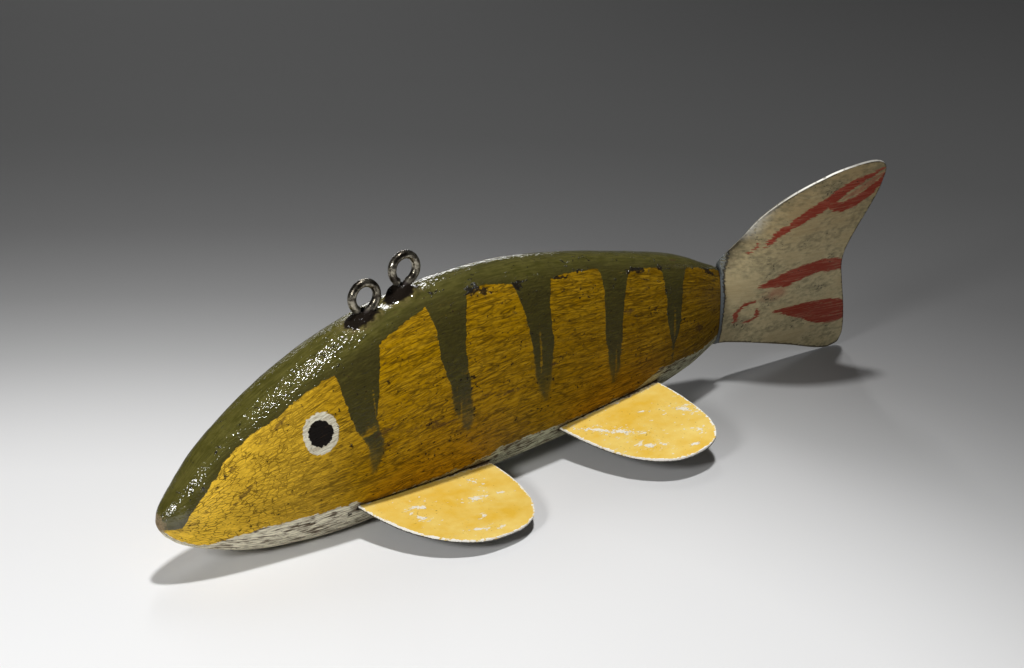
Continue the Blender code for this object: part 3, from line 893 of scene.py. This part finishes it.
    # the thick coat on the ridge has levelled out
    gloss = node("times", gloss, node("timesPlus", ridge, -0.9, 1.0))
    gloss = node("timesPlus", oliveMask, 0.08, gloss)
    crumbled = node("timesPlus", ragged, 1.2, 0.1)
    gloss = node("timesPlus", crumbMask, crumbled, gloss)
    tree.links.new(node("Bump", 0.95, mm, 0.1, gloss), shader.inputs["Coat Normal"])
    height = node("timesPlus", fineGrain, node("timesPlus", oliveMask, -0.09, 0.12), gloss)
    height = node("timesPlus", crack, node("timesPlus", oliveMask, 0.07, -0.10), height)
    height = node("timesPlus", ringMask, 0.06, height)
    tree.links.new(node("Bump", 0.95, mm, 0.1, height), shader.inputs["Normal"])
    return material


print("body")
bodyPiece = blockOutBody()
trueSections(bodyPiece)
carveBody(bodyPiece)
cutSlots(bodyPiece)
writeBodyPattern(bodyPiece)
settlePiece(bodyPiece, "carvedBody", "body", makeBodyMaterial(), 42)


# Side fins


softEdge = {"segments": 2, "limit_method": "ANGLE", "angle_limit": math.radians(60)}


# points of the rounded rim, as place along and place outwards
def finRim(fin, angles):
    out = rounded(np.clip(np.sin(angles), 0, 1), fin["fullness"])
    half = fin["chord"] / 2
    along = half - half * rounded(np.cos(angles), fin["fullness"]) + fin["sweep"] * out
    return np.stack([along, fin["root"] + fin["depth"] * out], axis=1)


def buildFin(fin, side):
    deselectAll()
    bpy.ops.mesh.primitive_grid_add(x_subdivisions=110, y_subdivisions=64, size=1)
    piece = bpy.context.object
    grid = readPlaces(piece) * mm
    u, v = np.clip(grid[:, 0] + 0.5, 0, 1), np.clip(grid[:, 1] + 0.5, 0, 1)
    rim = finRim(fin, math.pi * u)
    reach = fin["tangEnd"] + (rim[:, 1] - fin["tangEnd"]) * v
    writePlaces(piece, np.stack([rim[:, 0], side * reach, np.zeros(len(u))], axis=1))
    weld(piece, 0.02)
    addModifier(piece, "sheet", "SOLIDIFY", thickness=sheetThickness * mm, offset=0.0)
    addModifier(piece, "worn rim", "BEVEL", width=0.16 * mm, **softEdge)
    applyModifiers(piece)
    places = readPlaces(piece)
    outward = np.abs(places[:, 1])
    flat = np.stack([places[:, 0], outward], axis=1)
    rim = finRim(fin, np.linspace(0, math.pi, 90))
    offRim = -insideStroke(flat, [(x, y, 0.0) for x, y in rim])
    chip = np.full(len(places), -5.0)
    for at, outAt, length, width, turn in fin["chips"]:
        dx, dy = places[:, 0] - at, outward - outAt
        c, s = math.cos(math.radians(turn)), math.sin(math.radians(turn))
        chip = np.maximum(chip, 1 - np.hypot((dx * c + dy * s) / length, (dy * c - dx * s) / width))
    writeAttribute(piece, "chip", chip)
    writeAttribute(piece, "offRim", offRim)
    writeAttribute(piece, "outward", outward - fin["root"])
    writeAttribute(piece, "below", -places[:, 2])
    # hand-cut sheet: gently wavy away from the slot, with a slightly uneven rim
    free = smoothStep(fin["root"] + 4, fin["root"] + 16, outward)
    flat = places * (1, 1, 0)
    seed = 20 + side
    wave = 0.22 * lumps(flat, (17, 14, 9), seed) + 0.05 * lumps(flat, (5, 5, 5), seed + 3)
    places[:, 2] += wave * free
    nick = (0.16 * lumps(flat, (2.4, 2.4, 3), seed + 5) - 0.16) * (1 - smoothStep(0.2, 1.2, offRim))
    inward = places[:, :2] - (fin["chord"] / 2, side * fin["root"])
    inward /= np.linalg.norm(inward, axis=1)[:, None] + 1e-6
    places[:, :2] += inward * (nick * free)[:, None]
    writePlaces(piece, places)
    piece.data.transform(finPlaneMatrix(fin, side))
    return piece


finLook = {
    "yellow": "#e8bb40",
    "yellowLight": "#f5dc84",
    "primer": "#ece6d3",
    "rim": "#f6f3e8",
    # painted shade on the lower half of the rim
    "rimShadeAndDarkLine": "#3c3933",
    "underside": "#8f8e89",
    # dark brown for marks near the chips and for the band near the root
    "darkBrown": "#4d331a",
}


# Thin enamel over white primer on cut sheet steel: chips and scratches show the primer,
# the rim is rubbed white, painted shade darkens the lower half of the rim, and the underside
# has only grey primer
def makeFinMaterial():
    gloss = {"IOR": 1.5, "Specular IOR Level": 0.25}
    names = ("chip", "offRim", "outward", "below")
    material, tree, shader, place, look, node, at, mask = startMaterial(
        "chipped yellow enamel on sheet steel", finLook, gloss, names
    )
    ragged = speckle(tree, place, (1.0, 0.8, 1.0), 4.0, 3.0)
    wander = speckle(tree, place, (3.5, 3.0, 3.0), 3.0, 7.0)
    patches = speckle(tree, place, (14, 10, 10), 3.0, 1.0)
    scratches = speckle(tree, place, (5.0, 0.45, 4.0), 2.0, 11.0)
    flecks = speckle(tree, place, (2.0, 1.2, 1.8), 4.0, 14.0)
    crumbs = speckle(tree, place, (0.55, 0.45, 0.5), 2.0, 19.0)

    tone = node("timesPlus", patches, 1.6, node("timesPlus", wander, 0.9, 0.35))
    colour = node("blend", tone, look["yellow"], look["yellowLight"])
    chipMask = mask(at["chip"], [(wander, 1.2), (ragged, 2.6), (crumbs, 0.8)], 0.15, 0.4)
    # small chips gather round the large ones
    near = node("ramp", at["chip"], -4.0, 0.2, 0.0, 0.09)
    fleckMask = mask(near, [(flecks, 1.0), (patches, 0.35)], 0.18, 0.235, 0.0, 0.85)
    scratchMask = mask(near, [(scratches, 1.0), (wander, 0.4)], 0.27, 0.32, 0.0, 0.85)
    primerMask = node("larger", chipMask, node("larger", fleckMask, scratchMask))
    colour = node("blend", primerMask, colour, look["primer"])
    markMask = mask(near, [(ragged, 1.0), (crumbs, 0.8)], 0.25, 0.34, 0.0, 0.5)
    colour = node("blend", markMask, colour, look["darkBrown"])
    rimMask = mask(at["offRim"], [(wander, 1.8), (ragged, 2.4)], 0.15, 0.45, 1.0, 0.0)
    colour = node("blend", rimMask, colour, look["rim"])
    edge = node("timesPlus", ragged, 2.5, node("timesPlus", wander, 3.0, at["outward"]))
    worn = node("ramp", edge, 1.0, 1.9, 0.6, 0.0)
    colour = node("blend", worn, colour, look["primer"])
    # darker brown near the root of the fin
    darkNearRootMask = node("ramp", edge, 0.5, 1.3, 0.9, 0.0)
    colour = node("blend", darkNearRootMask, colour, look["darkBrown"])
    underMask = mask(at["below"], [(crumbs, 0.5)], 0.04, 0.16)
    colour = node("blend", underMask, colour, look["underside"])
    # painted shade: the lower half of the rim is darkened
    edge = node("times", underMask, node("ramp", at["offRim"], 0.1, 0.5, 1.0, 0.0))
    colour = node("blend", edge, colour, look["rimShadeAndDarkLine"])
    tree.links.new(colour, shader.inputs["Base Color"])
    rough = node("timesPlus", wander, 0.2, node("timesPlus", primerMask, 0.15, 0.46))
    tree.links.new(rough, shader.inputs["Roughness"])
    height = node("timesPlus", wander, 0.12, node("times", primerMask, -0.07))
    height = node("timesPlus", ragged, 0.06, height)
    tree.links.new(node("Bump", 0.8, mm, 0.1, height), shader.inputs["Normal"])
    return material


print("fins")
finMaterial = makeFinMaterial()
for finName, fin in finShapes.items():
    for side, sideName in ((-1, "left"), (1, "right")):
        node = finName + "_" + sideName
        piece = buildFin(fin, side)
        pieceName = finName.replace("_fin", "Fin") + sideName.capitalize()
        settlePiece(piece, pieceName, node, finMaterial, 35)


# Tail

tailLook = {
    "cream": "#a8946c",
    "creamLight": "#d0c299",
    "grime": "#4f4d39",
    "speck": "#35312a",
    "red": "#8f2b1c",
    "redLight": "#a8503f",
    "steel": "#7e8486",
    # painted highlight on the front of the rim
    "edge": "#f7f5ec",
    # painted shade on the rim, and the dark line at the paint's edge
    "rimShadeAndDarkLine": "#2f2b25",
}

# red strokes on the left face: place behind the front of the body, height, half width
tailStrokes = [
    [(81.0, 45.6, 0.35), (82.9, 50.0, 1.1), (85.5, 52.7, 1.5), (88.2, 55.6, 2.2), (91.7, 58.3, 2.5),
     (94.4, 60.8, 2.6), (96.6, 63.3, 2.4), (100.1, 65.7, 1.8), (104.2, 67.4, 1.2), (107.2, 69.4, 0.6)],
    [(95.0, 58.6, 1.2), (97.5, 57.5, 1.5), (100.2, 57.6, 2.2), (103.9, 58.9, 2.1), (107.0, 61.6, 2.2),
     (108.8, 64.4, 1.5), (109.6, 67.5, 0.8)],
    [(84.6, 31.4, 0.4), (87.0, 31.9, 1.4), (89.8, 32.4, 2.3), (94.3, 33.0, 3.3), (99.3, 34.5, 2.9),
     (104.8, 35.3, 2.5), (112.5, 34.6, 2.2)],
    [(95.0, 20.4, 0.5), (101.4, 18.9, 1.9), (107.8, 18.3, 3.4), (114.5, 16.3, 4.7), (119.5, 15.1, 4.6),
     (122.4, 14.6, 3.8)],
    [(85.6, 25.8, 0.35), (82.3, 25.0, 0.7), (80.4, 22.4, 0.8), (81.4, 19.7, 0.8), (82.6, 19.9, 0.3)],
    [(84.8, 18.5, 0.3), (87.0, 18.2, 0.6), (89.2, 19.6, 0.7), (87.9, 22.2, 0.35)],
    [(77.8, 43.8, 0.2), (79.2, 45.9, 0.45), (78.8, 47.8, 0.2)],
]
# thin red between the two upper ends
tailWash = [(98.5, 60.6, 0.8), (102.0, 62.4, 1.6), (106.0, 65.6, 1.6), (108.6, 68.2, 0.6)]
tailStrokesRight = [
    [(83.0, 47.0, 0.4), (87.5, 53.4, 1.7), (93.0, 58.8, 2.4), (99.5, 64.2, 1.9), (106.0, 68.6, 0.7)],
    [(86.0, 33.5, 0.5), (93.0, 35.2, 2.6), (102.0, 35.6, 2.8), (110.5, 36.5, 1.9)],
    [(92.0, 20.8, 0.5), (102.0, 19.4, 2.6), (112.0, 17.2, 3.9), (121.5, 14.2, 3.4)],
]


def buildTail():
    deselectAll()
    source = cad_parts["tail_fin"]
    piece = newObject("tailSheet", source.data.copy())
    useOnly(piece)
    editAll()
    bpy.ops.mesh.remove_doubles(threshold=0.00001)
    bpy.ops.mesh.tris_convert_to_quads(
        face_threshold=math.radians(30), shape_threshold=math.radians(75)
    )
    bpy.ops.mesh.select_all(action="DESELECT")
    bpy.ops.mesh.select_mode(type="EDGE")
    bpy.ops.mesh.edges_select_sharp(sharpness=math.radians(50))
    bpy.ops.transform.edge_crease(value=0.9)
    leaveEdit()
    addModifier(piece, "finer", "SUBSURF", levels=3, render_levels=3)
    applyModifiers(piece)
    places, normals = readPlaces(piece), readNormals(piece)
    leftFace = normals[:, 1] < 0
    points = places[:, [0, 2]]
    left, right = (
        np.max([insideStroke(points, stroke) for stroke in strokes], axis=0)
        for strokes in (tailStrokes, tailStrokesRight)
    )
    writeAttribute(piece, "stroke", np.where(leftFace, left, right))
    # paint stops short of the body: bare sheet in front of this line
    line = np.interp(
        places[:, 2], [14, 17, 29, 32, 38, 41, 46, 50], [76.1, 76.4, 75.2, 74.5, 74.0, 74.2, 74.3, 72.6]
    )
    writeAttribute(piece, "behindPaintEdge", places[:, 0] - line)
    flat = np.abs(normals @ np.array([0.0, 0.85, 0.5]))
    writeAttribute(piece, "onRim", 1 - smoothStep(0.35, 0.75, flat))
    # 1 on the front half of the rim, where light catches it
    front = normals @ np.array([-0.75, 0.0, 0.66])
    high = smoothStep(47, 53, places[:, 2]) * (1 - smoothStep(70.5, 72.5, places[:, 2]) * 0.6)
    writeAttribute(piece, "leadingEdge", smoothStep(-0.2, 0.3, front) * high)
    smear = 1 - np.hypot((places[:, 0] - 91.5) / 6.0, (places[:, 2] - 27.5) / 4.0)
    smear = np.maximum(smear, insideStroke(points, tailWash))
    writeAttribute(piece, "smear", np.where(leftFace, smear, -1))
    rim = places[np.abs(normals[:, 1]) < 0.5]
    finder = KDTree(len(rim))
    for k, spot in enumerate(rim):
        finder.insert((spot[0], 0.0, spot[2]), k)
    finder.balance()
    offEdge = [finder.find((spot[0], 0.0, spot[2]))[2] for spot in places]
    writeAttribute(piece, "offEdge", offEdge)
    free = smoothStep(76, 86, places[:, 0])
    both = places * (1, 0, 1)
    dent = 0.25 * lumps(both, (15, 9, 12), 31) + 0.10 * lumps(both, (6, 9, 5), 32)
    dent += 0.03 * lumps(both, (1.6, 9, 1.2), 33)
    places[:, 1] += dent * free
    writePlaces(piece, places)
    return piece


# Brushed cream oil paint on bent sheet steel, soiled, with thin strokes of red, and a painted highlight
# and painted shade on the rim
def makeTailMaterial():
    gloss = {"IOR": 1.5, "Specular IOR Level": 0.12}
    names = ("stroke", "behindPaintEdge", "onRim", "smear", "leadingEdge", "offEdge")
    material, tree, shader, place, look, node, at, mask = startMaterial(
        "soiled cream paint on sheet steel", tailLook, gloss, names
    )
    ragged = speckle(tree, place, (1.4, 1.0, 0.7), 4.0, 2.0)
    wander = speckle(tree, place, (4.0, 4.0, 2.6), 3.0, 6.0)
    patches = speckle(tree, place, (12, 10, 9), 3.0, 1.0)
    bristles = speckle(tree, place, (9.0, 5.0, 0.45), 3.0, 9.0)
    dots = speckle(tree, place, (0.75, 1.0, 0.65), 2.0, 13.0)
    soil = speckle(tree, place, (1.7, 1.7, 1.2), 5.0, 17.0)

    height = node("SeparateXYZ", place, output=2)
    tone = node("ramp", height, 62.0, 30.0, 0.2, 0.75)
    tone = node("timesPlus", patches, 1.6, node("timesPlus", bristles, 0.9, tone))
    colour = node("blend", tone, look["cream"], look["creamLight"])
    level = node("timesPlus", patches, 1.3, node("timesPlus", bristles, 0.4, soil))
    front = node("ramp", at["offEdge"], 0.5, 9.0, 0.14, 0.0)
    front = node("times", front, node("ramp", height, 44.0, 56.0))
    level = node("plus", level, front)
    soilMask = node("ramp", level, -0.14, 0.34, 0.0, 0.55)
    colour = node("blend", soilMask, colour, look["grime"])
    smearMask = mask(at["smear"], [(wander, 1.4)], 0.0, 0.9, 0.0, 0.45)
    colour = node("blend", smearMask, colour, look["redLight"])
    torn = [(ragged, 1.3), (wander, 1.6), (bristles, 3.2)]
    strokeMask = mask(at["stroke"], torn, -0.15, 0.35)
    tone = mask(bristles, [(patches, 0.8)], -0.1, 0.3)
    red = node("blend", tone, look["red"], look["redLight"])
    dry = mask(soil, [(bristles, 1.0)], 0.0, 0.4, 0.95, 0.6)
    colour = node("blend", node("times", strokeMask, dry), colour, red)
    dotMask = mask(dots, [(patches, 0.9)], 0.22, 0.28, 0.0, 0.75)
    colour = node("blend", dotMask, colour, look["speck"])
    edgeMask = mask(at["offEdge"], [(wander, 0.8), (ragged, 1.2)], 0.2, 0.55, 0.7, 0.0)
    colour = node("blend", edgeMask, colour, look["speck"])
    # the rim has a painted highlight in front, where light catches it, and painted shade elsewhere
    rimMask = node("times", at["onRim"], node("ramp", ragged, -0.3, 0.0))
    rim = node("blend", at["leadingEdge"], look["rimShadeAndDarkLine"], look["edge"])
    colour = node("blend", rimMask, colour, rim)
    edge = node("timesPlus", ragged, 1.4, at["behindPaintEdge"])
    bareMask = node("ramp", edge, -0.12, 0.08, 1.0, 0.0)
    colour = node("blend", bareMask, colour, look["steel"])
    lineMask = node("ramp", node("Math", edge, operation="ABSOLUTE"), 0.1, 0.4, 0.75, 0.0)
    colour = node("blend", lineMask, colour, look["rimShadeAndDarkLine"])
    tree.links.new(colour, shader.inputs["Base Color"])
    tree.links.new(node("times", bareMask, 0.85), shader.inputs["Metallic"])
    rough = node("timesPlus", soil, 0.25, node("timesPlus", bareMask, -0.14, 0.5))
    rough = node("timesPlus", rimMask, -0.15, rough)
    tree.links.new(rough, shader.inputs["Roughness"])
    height = node("timesPlus", bristles, 0.15, node("times", wander, 0.08))
    height = node("timesPlus", strokeMask, 0.05, height)
    height = node("timesPlus", bareMask, -0.10, height)
    height = node("timesPlus", soil, 0.14, height)
    tree.links.new(node("Bump", 0.8, mm, 0.1, height), shader.inputs["Normal"])
    return material


print("tail")
settlePiece(buildTail(), "tailSheet", "tail_fin", makeTailMaterial(), 40)


# Screw eyes


def screwEyePath(place):
    name, behind, across, height, turn = place
    ring, shape = screwEyes["ringRadius"], screwEyes
    bottom = -ring - shape["neck"]
    start = (ring * math.cos(shape["loopStart"]), ring * math.sin(shape["loopStart"]))
    flat = [(0.0, bottom - shape["shankDepth"])]
    flat += [(0.0, bottom - d) for d in (6.0, 4.0, 2.5, 1.4, 0.7)]
    flat += [(0.08, bottom - 0.05), (0.32, bottom + 0.45), (0.8, (bottom + start[1]) / 2 + 0.1)]
    steps = 72
    for k in range(steps + 1):
        angle = shape["loopStart"] + (shape["loopEnd"] - shape["loopStart"]) * k / steps
        flat.append((ring * math.cos(angle), ring * math.sin(angle)))
    centre = (bodyShape["noseX"] + behind, across, height)
    c, s = math.cos(turn), math.sin(turn)
    return [(centre[0] + u * c, centre[1] + u * s, centre[2] + w) for u, w in flat]


def buildScrewEye(place):
    deselectAll()
    line = bpy.data.curves.new("wire", "CURVE")
    line.dimensions = "3D"
    line.bevel_depth = screwEyes["wireRadius"] * mm
    line.bevel_resolution = 6
    line.use_fill_caps = True
    path = screwEyePath(place)
    spline = line.splines.new("POLY")
    spline.points.add(len(path) - 1)
    for point, at in zip(spline.points, path):
        point.co = (at[0] * mm, at[1] * mm, at[2] * mm, 1.0)
    piece = newObject(place[0], line)
    useOnly(piece)
    bpy.ops.object.convert(target="MESH")
    piece = bpy.context.object
    weld(piece, 0.02)
    addModifier(piece, "cut ends", "BEVEL", width=0.12 * mm, **softEdge)
    applyModifiers(piece)
    places, normals = readPlaces(piece), readNormals(piece)
    uneven = 0.05 * lumps(places, (2.2, 2.2, 2.2), 41) + 0.02 * lumps(places, (0.8, 0.8, 0.8), 42)
    places += normals * (uneven - 0.05)[:, None]
    writePlaces(piece, places)
    writeAttribute(piece, "aboveWood", places[:, 2] - (place[3] - screwEyes["ringRadius"] - 0.4))
    return piece


wireLook = {"steel": "#3d3730", "steelLight": "#aaa392", "rust": "#231610"}


# Drawn steel wire, tarnished grey-brown, still bright where line has rubbed it
def makeWireMaterial():
    material, tree, shader, place, look, node, at, mask = startMaterial(
        "tarnished steel wire", wireLook, {}, ["aboveWood"]
    )
    patches = speckle(tree, place, (2.4, 2.4, 2.4), 4.0, 2.0)
    pits = speckle(tree, place, (0.7, 0.7, 0.7), 4.0, 5.0)
    tone = mask(patches, [(pits, 0.6)], -0.16, 0.22)
    colour = node("blend", tone, look["steel"], look["steelLight"])
    rust = mask(at["aboveWood"], [(patches, 3.0)], -0.2, 1.9, 0.95, 0.0)
    spots = node("ramp", pits, 0.12, 0.2, 0.0, 0.7)
    colour = node("blend", node("larger", rust, spots), colour, look["rust"])
    tree.links.new(colour, shader.inputs["Base Color"])
    tree.links.new(node("timesPlus", rust, -0.8, 0.95), shader.inputs["Metallic"])
    rough = node("timesPlus", rust, 0.4, node("timesPlus", tone, -0.10, 0.30))
    tree.links.new(rough, shader.inputs["Roughness"])
    height = node("timesPlus", pits, 0.10, node("times", patches, 0.12))
    tree.links.new(node("Bump", 0.8, mm, 0.1, height), shader.inputs["Normal"])
    return material


print("screw eyes")
wireMaterial = makeWireMaterial()
for place in screwEyes["places"]:
    pieceName = "screwEyeFront" if "front" in place[0] else "screwEyeRear"
    settlePiece(buildScrewEye(place), pieceName, place[0], wireMaterial, 40)


# Floor, light and camera

studio = {
    "floorSize": 9000.0,
    # a painted pool of light on the paper: centre, then distance from it and shade
    "paintedLightCentre": (-240.0, -98.0, 0.0),
    "paintedLightShades": [(100, "#efefef"), (220, "#e3e3e3"), (262, "#d2d2d2"), (310, "#a6a6a6"),
                   (366, "#7f7f7f"), (440, "#5d5d5d"), (560, "#4d4d4d"), (900, "#434343")],
    # each light: place, width, height, power
    "lights": {
        "keyLight": ((-67.0, -148.0, 1150.0), 110.0, 110.0, 9.2),
        "fillLight": ((-930.0, -330.0, 520.0), 220.0, 220.0, 5.4),
        "topLight": ((390.0, 570.0, 800.0), 60.0, 600.0, 1.5),
        "rimLight": ((520.0, 930.0, 140.0), 600.0, 70.0, 0.8),
    },
    "skyShade": 0.04,
}
cameraSet = {
    "azimuth": math.radians(41.86),
    "elevation": math.radians(20.59),
    "target": (-8.23, 0.0, 37.78),
    "distance": 712.06,
    "lens": 90.6,
}


def buildFloor():
    deselectAll()
    bpy.ops.mesh.primitive_plane_add(size=studio["floorSize"] * mm, location=(0, 0, 0))
    floor = bpy.context.object
    floor.name = "studioFloor"
    material = bpy.data.materials.new("pale paper with a painted pool of light")
    material.use_nodes = True
    tree = material.node_tree
    shader = tree.nodes["Principled BSDF"]
    shader.inputs["Roughness"].default_value = 0.85
    shader.inputs["Specular IOR Level"].default_value = 0.2
    place = addNode(tree, "TexCoord", output=3)
    # the paper's colour is a painted pool of light, pale near the centre and darker away from it
    centre = [c * mm for c in studio["paintedLightCentre"]]
    off = addNode(tree, "VectorMath", place, centre, operation="DISTANCE")
    span = studio["paintedLightShades"][-1][0] * mm
    share = addNode(tree, "times", off, 1 / span)
    colour = addNode(tree, "ValToRGB", share)
    shades = colour.node.color_ramp
    shades.interpolation = "B_SPLINE"
    stops = shades.elements
    while len(stops) < len(studio["paintedLightShades"]):
        stops.new(0.5)
    for stop, (distance, shade) in zip(stops, studio["paintedLightShades"]):
        stop.position = distance * mm / span
        stop.color = linearColour(shade)
    tree.links.new(colour, shader.inputs["Base Color"])
    floor.data.materials.append(material)


def addLight(name, place, wide, tall, power, aim=(0.0, 0.0, 20.0)):
    lamp = bpy.data.lights.new(name, "AREA")
    lamp.shape = "ELLIPSE"
    lamp.size, lamp.size_y = wide * mm, tall * mm
    lamp.energy = power
    item = newObject(name, lamp)
    item.location = Vector(place) * mm
    item.rotation_euler = (Vector(place) - Vector(aim)).to_track_quat("Z", "Y").to_euler()


def buildCamera():
    a, e = cameraSet["azimuth"], cameraSet["elevation"]
    back = Vector((-math.sin(a) * math.cos(e), -math.cos(a) * math.cos(e), math.sin(e)))
    lens = bpy.data.cameras.new("camera")
    lens.lens = cameraSet["lens"]
    lens.sensor_width = 36.0
    item = newObject("camera", lens)
    item.location = (Vector(cameraSet["target"]) + back * cameraSet["distance"]) * mm
    item.rotation_euler = back.to_track_quat("Z", "Y").to_euler()
    bpy.context.scene.camera = item


print("studio")
buildFloor()
for lightName, settings in studio["lights"].items():
    addLight(lightName, *settings)
world = bpy.data.worlds.new("studio grey")
world.use_nodes = True
shade = studio["skyShade"]
world.node_tree.nodes["Background"].inputs["Color"].default_value = (shade, shade, shade, 1)
bpy.context.scene.world = world
bpy.context.scene.view_settings.view_transform = "Standard"
buildCamera()

print("done")
